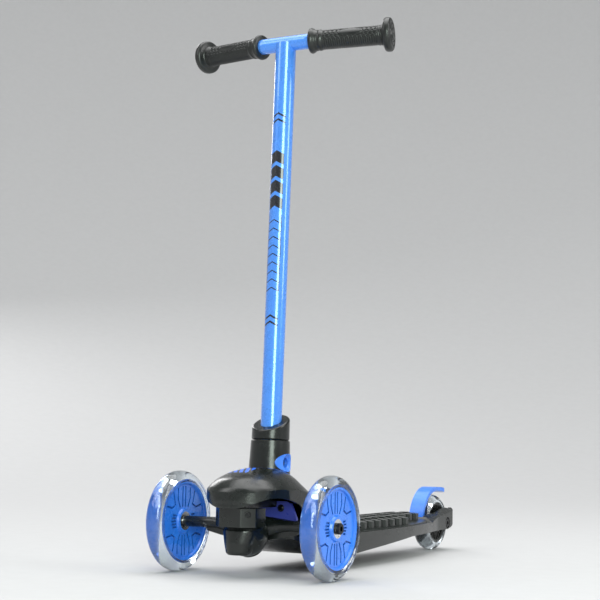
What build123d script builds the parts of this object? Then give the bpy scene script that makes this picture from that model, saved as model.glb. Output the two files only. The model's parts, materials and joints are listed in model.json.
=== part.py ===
"""Child's three-wheeled kick scooter with lean-to-steer front truck.

Frame: +Z up, +X to the rider's left when riding (the scooter faces -Y), origin on the
ground under the middle of the scooter's length. All sizes are in millimetres.
Lengths called "aft" are measured rearwards from the front axle.
"""
import os
from math import atan2, copysign, cos, degrees, radians, sin

from build123d import *

os.makedirs("parts", exist_ok=True)

# ---- driving dimensions -------------------------------------------------------------
WHEELBASE = 511.0
FRONT_WHEEL_R = 60.0
FRONT_WHEEL_WIDTH = 23.0
TRACK = 207.0
REAR_WHEEL_R = 40.0
REAR_WHEEL_WIDTH = 24.0

BEARING_R = 11.0                # 608 bearing, 22 x 8 x 7
BEARING_WIDTH = 7.0
AXLE_R = 4.0
RUNNING_GAP = 0.05
BODY_GAP = 0.35

COLUMN_RAKE = 2.4               # degrees back from vertical
COLUMN_R = 12.7
COLUMN_WALL = 1.5
COLUMN_FOOT_AFT = 36.0
COLUMN_FOOT_Z = 104.0
CROSSBAR_Z = 649.0
CROSSBAR_R = 9.5
CROSSBAR_WALL = 1.4
GRIP_SWEEP = 13.3               # degrees back
GRIP_RISE = 1.5
GRIP_START = 31.7
GRIP_LENGTH = 107.6
GRIP_BARREL_R = 11.9
GRIP_FLANGE_R = 20.8

STEER_AXIS_TILT = 55.0          # steering axis above the horizontal, rising forwards
STEER_AFT = -14.0
STEER_Z = 50.0
STEER_BALL_R = 26.5
KINGPIN_R = 5.0
ARM_R = 6.5

DECK_TOP_Z = 44.5
DECK_HALF_WIDTH = 56.0
PAD_CROWN = 6.0                 # how much higher the pad is along its middle
STUD_HEIGHT = 8.9
STUD_PITCH = 21.0
STUD_COLUMN = 18.5
FORK_SLOT_HALF = 16.5
FORK_OUTER_HALF = 28.0

BRAKE_PIVOT_AFT = 456.0
BRAKE_PIVOT_Z = 41.0
BRAKE_PIN_R = 2.5
BRAKE_HALF_WIDTH = 10.8
BRAKE_INNER_R = 46.0
BRAKE_THICKNESS = 5.5

BUTTON_HEIGHT = 28.0            # along the column from its foot
BUTTON_R = 3.9
NECK_SPLIT = 54.5

# ---- derived frame ------------------------------------------------------------------
FRONT_AXLE_Y = -(WHEELBASE + REAR_WHEEL_R - FRONT_WHEEL_R) / 2
REAR_AXLE_AFT = WHEELBASE


def aft(distance):
    """Frame Y of a point this far behind the front axle."""
    return FRONT_AXLE_Y + distance


def save(builder, name):
    """Label a finished piece and write its STEP file."""
    builder.part.label = name
    export_step(builder.part, f"parts/{name}.step")


def axle_plane(x, distance_aft, z):
    """Plane square to an axle along +X: local X points rearwards, local Y up."""
    return Plane(origin=(x, aft(distance_aft), z), x_dir=(0, 1, 0), z_dir=(1, 0, 0))


def half_plane(plane):
    """Plane holding the axis of `plane`: local X is the radius, local Y the height."""
    return Plane(origin=plane.origin, x_dir=plane.x_dir, z_dir=-plane.y_dir)


def axis_of(plane):
    return Axis(plane.origin, plane.z_dir)


def turn(plane, outline, mode=Mode.ADD):
    """Turn a closed (radius, height) outline about the local Z axis of `plane`."""
    with BuildSketch(half_plane(plane)) as profile:
        with BuildLine():
            Polyline(*outline, close=True)
        make_face()
    revolve(profile.sketch, axis=axis_of(plane), mode=mode)


def ring(plane, inner, outer, low, high, mode=Mode.ADD):
    """Plain ring or sleeve between two radii and two heights."""
    turn(plane, [(inner, low), (outer, low), (outer, high), (inner, high)], mode)


def rod(plane, radius, low, high, mode=Mode.ADD):
    with BuildSketch(plane.offset(low)) as disc:
        Circle(radius)
    extrude(disc.sketch, amount=high - low, mode=mode)


column = Plane(
    origin=(0, aft(COLUMN_FOOT_AFT), COLUMN_FOOT_Z),
    x_dir=(1, 0, 0),
    z_dir=(0, sin(radians(COLUMN_RAKE)), cos(radians(COLUMN_RAKE))),
)
COLUMN_LENGTH = (CROSSBAR_Z - COLUMN_FOOT_Z) / cos(radians(COLUMN_RAKE))
steer = Plane(
    origin=(0, aft(STEER_AFT), STEER_Z),
    x_dir=(1, 0, 0),
    z_dir=(0, -cos(radians(STEER_AXIS_TILT)), sin(radians(STEER_AXIS_TILT))),
)

# ---- handlebar ----------------------------------------------------------------------
BAR_Y = aft(COLUMN_FOOT_AFT) + COLUMN_LENGTH * sin(radians(COLUMN_RAKE))
BAR_BEND_R = 16.0


def grip_plane(side):
    """Plane across a grip: local Z runs outwards along the swept-back end of the bar."""
    sweep = radians(GRIP_SWEEP)
    rise = radians(GRIP_RISE)
    outward = Vector(side * cos(sweep) * cos(rise), sin(sweep) * cos(rise), sin(rise))
    return Plane(origin=(side * GRIP_START, BAR_Y, CROSSBAR_Z), x_dir=(0, 0, 1), z_dir=outward)


with BuildPart() as column_tube:
    ring(column, COLUMN_R - COLUMN_WALL, COLUMN_R, 2, COLUMN_LENGTH)
    with BuildSketch(Plane.YZ.offset(-20)):
        with Locations((BAR_Y, CROSSBAR_Z)):
            Circle(CROSSBAR_R)
    extrude(amount=40, mode=Mode.SUBTRACT)
    with BuildSketch(column.offset(COLUMN_LENGTH)):
        Circle(COLUMN_R + 2)
    extrude(amount=20, mode=Mode.SUBTRACT)
    with BuildSketch(Plane(origin=column.from_local_coords((0, 0, BUTTON_HEIGHT)),
                           x_dir=(0, 1, 0), z_dir=(1, 0, 0))):
        Circle(BUTTON_R + RUNNING_GAP)
    extrude(amount=COLUMN_R + 3, mode=Mode.SUBTRACT)
save(column_tube, "column_tube")

BAR_REACH = GRIP_LENGTH - 4
bar_ends = [grip_plane(side).from_local_coords((0, 0, BAR_REACH)) for side in (-1, 1)]
bar_corners = [(side * GRIP_START, BAR_Y, CROSSBAR_Z) for side in (-1, 1)]
with BuildPart() as crossbar_tube:
    with BuildLine() as bar_path:
        FilletPolyline(bar_ends[0], bar_corners[0], bar_corners[1], bar_ends[1], radius=BAR_BEND_R)
    with BuildSketch(Plane(origin=bar_ends[0], x_dir=(0, 0, 1), z_dir=bar_path.line % 0)):
        Circle(CROSSBAR_R)
        Circle(CROSSBAR_R - CROSSBAR_WALL, mode=Mode.SUBTRACT)
    sweep()
save(crossbar_tube, "crossbar_tube")

with BuildPart() as bar_end_plugs:
    for side in (-1, 1):
        plug_r = CROSSBAR_R - CROSSBAR_WALL - 0.05
        turn(grip_plane(side), [
            (0, BAR_REACH - 14), (plug_r - 1, BAR_REACH - 14), (plug_r, BAR_REACH - 12),
            (plug_r, BAR_REACH), (CROSSBAR_R, BAR_REACH), (CROSSBAR_R, BAR_REACH + 1.5), (0, BAR_REACH + 1.5),
        ])
save(bar_end_plugs, "bar_end_plugs")

GRIP_BORE_R = CROSSBAR_R + 0.02
GRIP_OUTLINE = [
    (GRIP_BORE_R, 2), (14.2, 2), (15.6, 4), (15.6, 6.5), (13.2, 9.5), (13.2, 17), (GRIP_BARREL_R, 19),
    (GRIP_BARREL_R, 89), (12.8, 91), (12.8, 93), (GRIP_BARREL_R, 94.5), (14.5, 96), (GRIP_FLANGE_R - 1.2, 97),
    (GRIP_FLANGE_R, 98.5), (GRIP_FLANGE_R, 103.5), (GRIP_FLANGE_R - 1.6, 105.4), (15.2, 105.8), (14.6, 105),
    (13, 105), (12.4, 106.4), (7.4, 106.6), (6.8, GRIP_LENGTH), (2, GRIP_LENGTH), (2, BAR_REACH + 1.8),
    (GRIP_BORE_R, BAR_REACH + 1.8),
]
for side, name in ((-1, "grip_right"), (1, "grip_left")):
    with BuildPart() as grip:
        turn(grip_plane(side), GRIP_OUTLINE)
    save(grip, name)

# ---- neck that holds the column -------------------------------------------------------
NECK_FOOT_R = 25.4
NECK_TOP_R = 23.0
NECK_BORE_R = COLUMN_R + 0.1
SURROUND_HALF_WIDTH = 17.4
SURROUND_HALF_HEIGHT = 10.6
SURROUND_FLOOR_X = 17.0
button_plane = Plane(
    origin=column.from_local_coords((0, 0, BUTTON_HEIGHT)), x_dir=(0, 1, 0), z_dir=(1, 0, 0))


with BuildPart() as neck_socket:
    turn(column, [
        (NECK_BORE_R, 0), (NECK_FOOT_R, 0), (NECK_FOOT_R, 9), (NECK_TOP_R + 0.6, 50),
        (NECK_TOP_R + 0.4, NECK_SPLIT - 1), (NECK_TOP_R - 0.8, NECK_SPLIT), (NECK_BORE_R, NECK_SPLIT),
    ])
    with BuildSketch(button_plane.offset(SURROUND_FLOOR_X)):
        Ellipse(SURROUND_HALF_WIDTH + 0.1, SURROUND_HALF_HEIGHT + 0.1)
    extrude(amount=12, mode=Mode.SUBTRACT)
    rod(button_plane, BUTTON_R + 0.3, 5, 20, Mode.SUBTRACT)
save(neck_socket, "neck_socket")

CAP_SLANT = degrees(atan2(1, 2))
with BuildPart() as neck_cap:
    turn(column, [
        (NECK_BORE_R, NECK_SPLIT + 0.4), (NECK_TOP_R - 1.2, NECK_SPLIT + 0.4), (NECK_TOP_R - 0.2, NECK_SPLIT + 1.4),
        (NECK_TOP_R - 0.6, NECK_SPLIT + 40), (NECK_BORE_R, NECK_SPLIT + 40),
    ])
    slant = Plane(origin=column.from_local_coords((0, 0, NECK_SPLIT + 22)), x_dir=(1, 0, 0),
                  z_dir=Vector(column.z_dir).rotate(Axis.X, CAP_SLANT))
    split(bisect_by=slant, keep=Keep.BOTTOM)
    cap_rim = neck_cap.faces().sort_by(Axis.Z)[-1].outer_wire().edges()
    fillet(cap_rim, radius=2.6)
save(neck_cap, "neck_cap")

with BuildPart() as button_surround:
    with BuildSketch(button_plane.offset(SURROUND_FLOOR_X + 0.1)):
        Ellipse(SURROUND_HALF_WIDTH, SURROUND_HALF_HEIGHT)
        Circle(6, mode=Mode.SUBTRACT)
    extrude(amount=12)
    rod(column, NECK_FOOT_R, 10, 50, Mode.INTERSECT)
    with Locations(button_plane.offset(SURROUND_FLOOR_X + 15)):
        Sphere(12, mode=Mode.SUBTRACT)
save(button_surround, "button_surround")

with BuildPart() as snap_button:
    dome_start = COLUMN_R + 1
    turn(button_plane, [
        (0, 6.4), (BUTTON_R, 6.4), (BUTTON_R, 7.9), (5.2, 7.9), (5.2, 9.3), (BUTTON_R, 9.3),
        (BUTTON_R, dome_start), (3.6, dome_start + 1.3), (2.7, dome_start + 2.3), (1.4, dome_start + 2.9),
        (0, dome_start + 3.1),
    ])
save(snap_button, "snap_button")

CLIP_WIDTH = 7.0
with BuildPart() as snap_clip:
    with BuildSketch(Plane.XZ.offset(-button_plane.origin.Y - CLIP_WIDTH / 2)):
        z_button = button_plane.origin.Z
        with BuildLine():
            clip_path = FilletPolyline((6.0, z_button + 5), (6.0, z_button - 20), (-5.5, z_button - 20),
                                       (-5.5, z_button + 2), radius=4.5)
            offset(clip_path, amount=0.4, side=Side.BOTH)
        make_face()
    extrude(amount=CLIP_WIDTH)
save(snap_clip, "snap_clip")

# ---- pivot housing: carries the neck, the kingpin and the hood -----------------------
SOCKET_R = STEER_BALL_R + 0.7
HOUSING_BOTTOM_Z = 59.0
CHIN_TOP_Z = 80.3
CHIN_FRONT_AFT = -52.0
CHIN_REAR_AFT = -19.0
SPINE_HALF_WIDTH = 18.0
SPINE_TOP_Z = COLUMN_FOOT_Z - 0.5
SPINE_REAR_AFT = 84.0
FOOT_FRONT_AFT = 54.0
FOOT_REAR_AFT = 88.0
FOOT_HALF_WIDTH = 28.0
FOOT_SCREWS = [(x, aft(y)) for x in (-22.5, 22.5) for y in (61, 81)]
NECK_SEAT_GAP = 0.3
NUT_SEAT = 34.0

with BuildPart() as pivot_housing:
    with BuildSketch(Plane.XY.offset(HOUSING_BOTTOM_Z)):
        with BuildLine():
            Polyline(
                (-14, aft(CHIN_FRONT_AFT)), (14, aft(CHIN_FRONT_AFT)), (27.5, aft(CHIN_FRONT_AFT + 14)),
                (28.5, aft(CHIN_REAR_AFT)), (-28.5, aft(CHIN_REAR_AFT)), (-27.5, aft(CHIN_FRONT_AFT + 14)),
                close=True)
        make_face()
    extrude(amount=CHIN_TOP_Z - HOUSING_BOTTOM_Z)
    chin_edges = pivot_housing.edges().filter_by(Axis.Z).group_by(Axis.Y)[0:2]
    chamfer(chin_edges[0] + chin_edges[1], length=1.2)
    with BuildSketch(Plane.YZ):
        with BuildLine():
            Polyline(
                (aft(-46), CHIN_TOP_Z - 6), (aft(-46), 86), (aft(-30), 94), (aft(0), SPINE_TOP_Z),
                (aft(57), SPINE_TOP_Z), (aft(76), 88), (aft(SPINE_REAR_AFT), 78),
                (aft(SPINE_REAR_AFT), DECK_TOP_Z + 4),
                (aft(FOOT_FRONT_AFT), DECK_TOP_Z + 4), (aft(FOOT_FRONT_AFT), 76), (aft(46), CHIN_TOP_Z),
                (aft(CHIN_REAR_AFT), CHIN_TOP_Z), close=True)
        make_face()
    extrude(amount=SPINE_HALF_WIDTH, both=True)
    with BuildSketch(Plane.XY.offset(DECK_TOP_Z)):
        with Locations((0, aft((FOOT_FRONT_AFT + FOOT_REAR_AFT) / 2))):
            RectangleRounded(2 * FOOT_HALF_WIDTH, FOOT_REAR_AFT - FOOT_FRONT_AFT, 6)
    extrude(amount=6)
    rod(column, NECK_FOOT_R + 1.5, -8, -NECK_SEAT_GAP)
    rod(column, 45, -NECK_SEAT_GAP, 20, Mode.SUBTRACT)
    with Locations(steer):
        Sphere(SOCKET_R, mode=Mode.SUBTRACT)
    rod(steer, KINGPIN_R + 0.02, 10, 60, Mode.SUBTRACT)
    rod(steer, 10, NUT_SEAT, 60, Mode.SUBTRACT)
    rod(column, COLUMN_R + 1, -14, 2, Mode.SUBTRACT)
    for x in (-9.5, 9.5):
        with BuildSketch(Plane.XY.offset(DECK_TOP_Z + 8)):
            with Locations((x, aft(69))):
                RectangleRounded(12, 22, 3)
        extrude(amount=34, mode=Mode.SUBTRACT)
    with Locations(Plane.XY.offset(DECK_TOP_Z + 6)):
        with Locations(*FOOT_SCREWS):
            Hole(2.2)
    for side in (-1, 1):
        corner = Plane(origin=(side * 20.75, aft(CHIN_FRONT_AFT + 7), 73.5), x_dir=(0, 0, 1),
                       z_dir=(side * 14, -13.5, 0))
        rod(corner, 3.6, -2.4, 4, Mode.SUBTRACT)
        rod(corner, 1.6, -9, 4, Mode.SUBTRACT)
save(pivot_housing, "pivot_housing")

with BuildPart() as chin_screws:
    for side in (-1, 1):
        corner = Plane(origin=(side * 20.75, aft(CHIN_FRONT_AFT + 7), 73.5), x_dir=(0, 0, 1),
                       z_dir=(side * 14, -13.5, 0))
        rod(corner, 1.55, -8.5, -2.3)
        rod(corner, 3.2, -2.4, -0.6)
        with BuildSketch(corner.offset(-0.6)):
            Rectangle(3.6, 0.9)
            Rectangle(0.9, 3.6)
        extrude(amount=-1, mode=Mode.SUBTRACT)
save(chin_screws, "chin_screws")


def screw(plane, shank_r, head_r, head_height, length):
    """Cross-head screw: the head's underside lies on `plane`, the shank runs along -Z."""
    rod(plane, shank_r, -length, 0.01)
    turn(plane, [(0, 0), (head_r, 0), (head_r, head_height * 0.5), (head_r * 0.6, head_height), (0, head_height)])
    with BuildSketch(plane.offset(head_height)) as cross:
        Rectangle(head_r * 1.1, head_r * 0.28)
        Rectangle(head_r * 0.28, head_r * 1.1)
    extrude(cross.sketch, amount=-head_height * 0.6, mode=Mode.SUBTRACT)


with BuildPart() as housing_screws:
    for x, y in FOOT_SCREWS:
        screw(Plane(origin=(x, y, DECK_TOP_Z + 6)), 2.1, 4, 2.4, 11)
save(housing_screws, "housing_screws")

HEAD_TOP = -18.3
with BuildPart() as kingpin_bolt:
    rod(steer, KINGPIN_R, HEAD_TOP, NUT_SEAT + 7)
    with BuildSketch(steer.offset(HEAD_TOP)):
        RegularPolygon(radius=8.4, side_count=6)
    extrude(amount=-5)
    chamfer(kingpin_bolt.edges().filter_by(GeomType.CIRCLE).sort_by(axis_of(steer))[-1], length=0.8)
save(kingpin_bolt, "kingpin_bolt")

with BuildPart() as kingpin_washer:
    ring(steer, KINGPIN_R + 0.1, 9, HEAD_TOP, HEAD_TOP + 1.5)
save(kingpin_washer, "kingpin_washer")

with BuildPart() as kingpin_nut:
    with BuildSketch(steer.offset(NUT_SEAT)):
        RegularPolygon(radius=8.8, side_count=6)
        Circle(KINGPIN_R + 0.02, mode=Mode.SUBTRACT)
    extrude(amount=6)
save(kingpin_nut, "kingpin_nut")

RUBBER_R = 12.5
RUBBER_FLOOR = 12.0
with BuildPart() as return_rubber:
    ring(steer, KINGPIN_R + 0.1, RUBBER_R, RUBBER_FLOOR + 1.6, 32)
    with Locations(steer):
        Sphere(SOCKET_R - 0.03, mode=Mode.INTERSECT)
save(return_rubber, "return_rubber")

# ---- hood ------------------------------------------------------------------------------
# Each section: height, front and rear ends aft of the axle, half width.
HOOD_SECTIONS = [
    (44.8, -40, 120, 41), (64, -50, 110, 44), (78, -57.6, 97, 49), (88, -59.5, 88, 54), (96, -58.4, 80, 55.5),
    (101, -57, 74, 52.5), (106, -53.5, 68, 48), (113, -45, 61, 40.5), (118.3, -33, 54, 33), (121.2, -22, 47, 28.5),
    (123.4, -9, 40, 23.5), (125.7, 4, 30, 14),
]
HOOD_SQUARENESS = 2.3
HOOD_WALL = 2.8
HOOD_EDGE_Z = CHIN_TOP_Z + 0.4
# The upright wall that trims the dome's sides: half width, front end, where it is widest, how square it is.
WALL_HALF_WIDTH = 52.2
WALL_FRONT_AFT = -59.8
WALL_WIDEST_AFT = 12.0
WALL_SQUARENESS = 2.25


def oval_point(angle, half_width, half_length, squareness):
    """Point of a squarish oval; the angle is measured from +X towards the rear."""
    x = half_width * copysign(abs(cos(radians(angle))) ** (2 / squareness), cos(radians(angle)))
    y = half_length * copysign(abs(sin(radians(angle))) ** (2 / squareness), sin(radians(angle)))
    return (x, y)


def rounded(rows, steps):
    """Rows of a table with smooth rows added between them (a Catmull-Rom curve)."""
    ends = [rows[0], *rows, rows[-1]]
    result = []
    for before, here, there, after in zip(ends, ends[1:], ends[2:], ends[3:]):
        for step in range(steps):
            t = step / steps
            weights = (-0.5 * t + t ** 2 - 0.5 * t ** 3, 1 - 2.5 * t ** 2 + 1.5 * t ** 3,
                       0.5 * t + 2 * t ** 2 - 1.5 * t ** 3, -0.5 * t ** 2 + 0.5 * t ** 3)
            result.append([sum(w * v for w, v in zip(weights, values))
                           for values in zip(before, here, there, after)])
    return result + [list(rows[-1])]


def hood_dome(inset):
    """The hood's rounded body, each surface moved inwards by the inset."""
    with BuildPart() as dome:
        for z, front, rear, half_width in rounded(HOOD_SECTIONS, 2):
            height = z - inset * min(1, max(0, (z - 60) / 50))
            half_length = (rear - front) / 2 - inset
            outline = [oval_point(15 * step + 7.5, half_width - inset, half_length, HOOD_SQUARENESS)
                       for step in range(24)]
            with BuildSketch(Plane(origin=(0, aft((front + rear) / 2), height))):
                with BuildLine():
                    Spline(*outline, periodic=True)
                make_face()
        loft()
    return dome.part


def hood_wall(inset):
    """The upright wall, square behind its widest place, moved inwards by the inset."""
    reach = WALL_WIDEST_AFT - WALL_FRONT_AFT - inset
    nose = [oval_point(180 + 15 * step, WALL_HALF_WIDTH - inset, reach, WALL_SQUARENESS) for step in range(13)]
    with BuildPart() as wall:
        with BuildSketch(Plane(origin=(0, aft(WALL_WIDEST_AFT), 20))):
            with BuildLine():
                Spline(*nose, tangents=((0, -1), (0, 1)))
                Polyline(nose[-1], (nose[-1][0], 140), (nose[0][0], 140), nose[0])
            make_face()
        extrude(amount=130)
    return wall.part


with BuildPart() as hood_cover:
    add(hood_dome(0) & hood_wall(0))
    add(hood_dome(HOOD_WALL) & hood_wall(HOOD_WALL), mode=Mode.SUBTRACT)
    with BuildSketch(Plane.YZ.offset(-80)):
        with BuildLine():
            Line((aft(-80), 30), (aft(-80), HOOD_EDGE_Z))
            Line((aft(-80), HOOD_EDGE_Z), (aft(-57.5), HOOD_EDGE_Z))
            Spline((aft(-57.5), HOOD_EDGE_Z), (aft(-51.5), 85), (aft(-43.5), 89.2), (aft(-31.5), 92.2),
                   (aft(-17), 92.2), (aft(-1), 89.6), (aft(19), 84.2), (aft(36), 76.5), (aft(48), 66),
                   (aft(57), 44))
            Line((aft(57), 44), (aft(57), 30))
            Line((aft(57), 30), (aft(-80), 30))
        make_face()
    extrude(amount=160, mode=Mode.SUBTRACT)
    rod(column, NECK_FOOT_R + 0.4, -40, 60, Mode.SUBTRACT)
save(hood_cover, "hood_cover")

# ---- blue guard behind the steering arms -----------------------------------------------
GUARD_AFT = 24.0
with BuildPart() as steering_guard:
    with BuildSketch(Plane(origin=(0, aft(GUARD_AFT), 0), x_dir=(1, 0, 0), z_dir=(0, -1, 0))):
        with BuildLine():
            Polyline((-32, 87), (32, 87), (38, 84.5), (46.5, 64), (30, 66), (0, 69), (-30, 66), (-46.5, 64),
                     (-38, 84.5), close=True)
        make_face()
        with Locations((0, CHIN_TOP_Z - 0.2)):
            Rectangle(2 * SPINE_HALF_WIDTH + 0.4, 20, align=(Align.CENTER, Align.MIN), mode=Mode.SUBTRACT)
    extrude(amount=-4)
    for side in (-1, 1):
        with BuildSketch(Plane(origin=(0, aft(GUARD_AFT), 0), x_dir=(1, 0, 0), z_dir=(0, -1, 0))):
            with Locations((side * 24.5, 79)):
                Circle(1.8)
        extrude(amount=-6, mode=Mode.SUBTRACT)
    for side in (-1, 1):
        with BuildSketch(Plane.XY.offset(70)):
            with Locations((side * (SPINE_HALF_WIDTH + 2.8), aft(GUARD_AFT + 4 + 12))):
                Rectangle(4, 24.2)
        extrude(amount=8)
    fillet(steering_guard.edges().filter_by(Axis.Y).group_by(Axis.X)[-1], radius=2)
    fillet(steering_guard.edges().filter_by(Axis.Y).group_by(Axis.X)[0], radius=2)
save(steering_guard, "steering_guard")

with BuildPart() as guard_screws:
    for side in (-1, 1):
        screw(Plane(origin=(side * 24.5, aft(GUARD_AFT), 79), x_dir=(1, 0, 0), z_dir=(0, -1, 0)), 1.7, 4.2, 2.6, 8)
save(guard_screws, "guard_screws")

# ---- front truck -------------------------------------------------------------------------
ARM_END = 92.4
BUSHING_R = 7.0
BUSHING_FLOOR = -15.0
# Each section of an arm: distance from the middle, centre height, depth and height.
ARM_SECTIONS = [(12, 57, 26, 30), (28, 58.4, 19, 20), (42, 59.6, 15, 14.5), (60, 60, 2 * ARM_R, 2 * ARM_R)]
# The pot under the chin: height, middle aft of the axle, radius.
POT_SECTIONS = [(55.4, -19.6, 23.6), (54, -20, 24), (40, -26, 19.2), (29, -29.5, 15.2), (26.6, -30, 12.5)]
BALL_CUT_Z = 46.0

with BuildPart() as truck_beam:
    with Locations(steer):
        Sphere(STEER_BALL_R)
    with BuildSketch(Plane.XY):
        Circle(80)
    extrude(amount=BALL_CUT_Z, mode=Mode.SUBTRACT)
    for lower, upper in zip(POT_SECTIONS[1:], POT_SECTIONS[:-1]):
        for z, middle, radius in (lower, upper):
            with BuildSketch(Plane(origin=(0, aft(middle), z))):
                Circle(radius)
        loft()
    rod(steer, 13.4, -24.5, 2)
    for side in (-1, 1):
        for x, z, depth, height in ARM_SECTIONS:
            with BuildSketch(axle_plane(side * x, 0, z)):
                Ellipse(depth / 2, height / 2)
        loft()
        rod(axle_plane(0, 0, FRONT_WHEEL_R), ARM_R, *sorted((side * 60, side * ARM_END)))
        with BuildSketch(Plane.XZ.offset(-aft(2.5))):
            with BuildLine():
                Polyline((side * 8, 56), (side * 66, 56), (side * 60, 50), (side * 42, 46), (side * 30, 44.4),
                         (side * 17, 41.5), (side * 8, 37), close=True)
            make_face()
        extrude(amount=5)
    rod(steer, BUSHING_R, BUSHING_FLOOR - 1, RUBBER_FLOOR + 1, Mode.SUBTRACT)
    rod(steer, 10.2, -60, BUSHING_FLOOR, Mode.SUBTRACT)
    rod(steer, RUBBER_R + BODY_GAP, RUBBER_FLOOR, 40, Mode.SUBTRACT)
    for side in (-1, 1):
        rod(axle_plane(0, 0, FRONT_WHEEL_R), AXLE_R + 0.02, *sorted((side * 66, side * (ARM_END + 1))),
            mode=Mode.SUBTRACT)
save(truck_beam, "truck_beam")

with BuildPart() as steer_bushings:
    turn(steer, [(KINGPIN_R + RUNNING_GAP, 1), (BUSHING_R - 0.02, 1), (BUSHING_R - 0.02, RUBBER_FLOOR),
                 (11, RUBBER_FLOOR), (11, RUBBER_FLOOR + 1.2), (KINGPIN_R + RUNNING_GAP, RUBBER_FLOOR + 1.2)])
    turn(steer, [(KINGPIN_R + RUNNING_GAP, -2), (BUSHING_R - 0.02, -2), (BUSHING_R - 0.02, BUSHING_FLOOR),
                 (9.5, BUSHING_FLOOR), (9.5, BUSHING_FLOOR - 1.4), (KINGPIN_R + RUNNING_GAP, BUSHING_FLOOR - 1.4)])
save(steer_bushings, "steer_bushings")

# ---- front wheels ---------------------------------------------------------------------------
HUB_HALF = 9.5
HUB_R = 14.0
RIM_R = 50.0
RIM_INNER_R = 44.6
WEB_HALF = 7.0
GROOVE_DEPTH = 2.4
LIGHT_R = 4.0
LIGHT_ANGLES = (45, 135, 225, 315)
SHOULDER_R = 9.5


def polar(radius, angle):
    return (radius * sin(radians(angle)), radius * cos(radians(angle)))


GROOVE_WIDTH = 2.3
GROOVES = []
for top in (0, 180):
    for hand in (-1, 1):
        GROOVES.append([(17, top + hand * 10), (41.5, top + hand * 4.2)])
        GROOVES.append([(18, top + hand * 27), (30, top + hand * 26), (41.5, top + hand * 18)])
        GROOVES.append([(42, top + hand * 33), (27, top + hand * 44), (30, top + hand * 58), (42, top + hand * 64)])
for fan in (90, 270):
    for step in (-2, -1, 0, 1, 2):
        GROOVES.append([(16.5, fan + step * 12), (27 - abs(step), fan + step * 8.5)])


def disc_relief(plane):
    """Sketch of the wheel disc's grooves, from (radius, angle from the top) paths."""
    with BuildSketch(plane) as relief:
        for points in GROOVES:
            with BuildLine() as path:
                Polyline(*[polar(radius, angle) for radius, angle in points])
            trace(path.line, line_width=GROOVE_WIDTH)
    return relief.sketch


def front_core(wheel):
    turn(wheel, [
        (SHOULDER_R, -2.5), (SHOULDER_R, 2.5), (BEARING_R, 2.5), (BEARING_R, HUB_HALF), (HUB_R, HUB_HALF),
        (HUB_R + 1.5, WEB_HALF), (RIM_INNER_R - 1, WEB_HALF), (RIM_INNER_R, WEB_HALF + 2.5),
        (RIM_INNER_R + 2, WEB_HALF + 3), (RIM_R, WEB_HALF + 1.5),
        (RIM_R, -WEB_HALF - 1.5), (RIM_INNER_R + 2, -WEB_HALF - 3), (RIM_INNER_R, -WEB_HALF - 2.5),
        (RIM_INNER_R - 1, -WEB_HALF), (HUB_R + 1.5, -WEB_HALF), (HUB_R, -HUB_HALF), (BEARING_R, -HUB_HALF),
        (BEARING_R, -2.5),
    ])
    for face in (-1, 1):
        relief = disc_relief(wheel.offset(face * (WEB_HALF + 1)))
        extrude(relief, amount=-face * (GROOVE_DEPTH + 1), mode=Mode.SUBTRACT)
    for angle in LIGHT_ANGLES:
        rod(light_plane(wheel, angle), LIGHT_R + 0.1, RIM_R - 3.5, RIM_R + 1, Mode.SUBTRACT)


def light_plane(wheel, angle):
    """Plane at the wheel's centre whose Z axis points outwards at this angle above the front."""
    outward = Vector(0, -cos(radians(angle)), sin(radians(angle)))
    return Plane(origin=wheel.origin, x_dir=(1, 0, 0), z_dir=outward)


def bearing_outer(plane, centre):
    """Outer ring of one bearing with its two shields."""
    half = BEARING_WIDTH / 2
    turn(plane, [
        (6.3, centre - half + 0.4), (9.4, centre - half + 0.4), (9.4, centre - half),
        (BEARING_R, centre - half), (BEARING_R, centre + half), (9.4, centre + half), (9.4, centre + half - 0.4),
        (6.3, centre + half - 0.4), (6.3, centre + half - 1.2), (9.2, centre + half - 1.2),
        (9.2, centre - half + 1.2), (6.3, centre - half + 1.2),
    ])


def bearing_inner(plane, centre):
    half = BEARING_WIDTH / 2
    ring(plane, AXLE_R + 0.01, 6, centre - half, centre + half)


def bearing_balls(plane, centre):
    with Locations(plane.offset(centre)):
        with PolarLocations(7.6, 7):
            Sphere(1.45)


BEARING_CENTRES = (-HUB_HALF + BEARING_WIDTH / 2, HUB_HALF - BEARING_WIDTH / 2)
front_wheels = [(side, axle_plane(side * TRACK / 2, 0, FRONT_WHEEL_R), hand)
                for side, hand in ((-1, "right"), (1, "left"))]
TYRE_HALF = FRONT_WHEEL_WIDTH / 2

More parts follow.
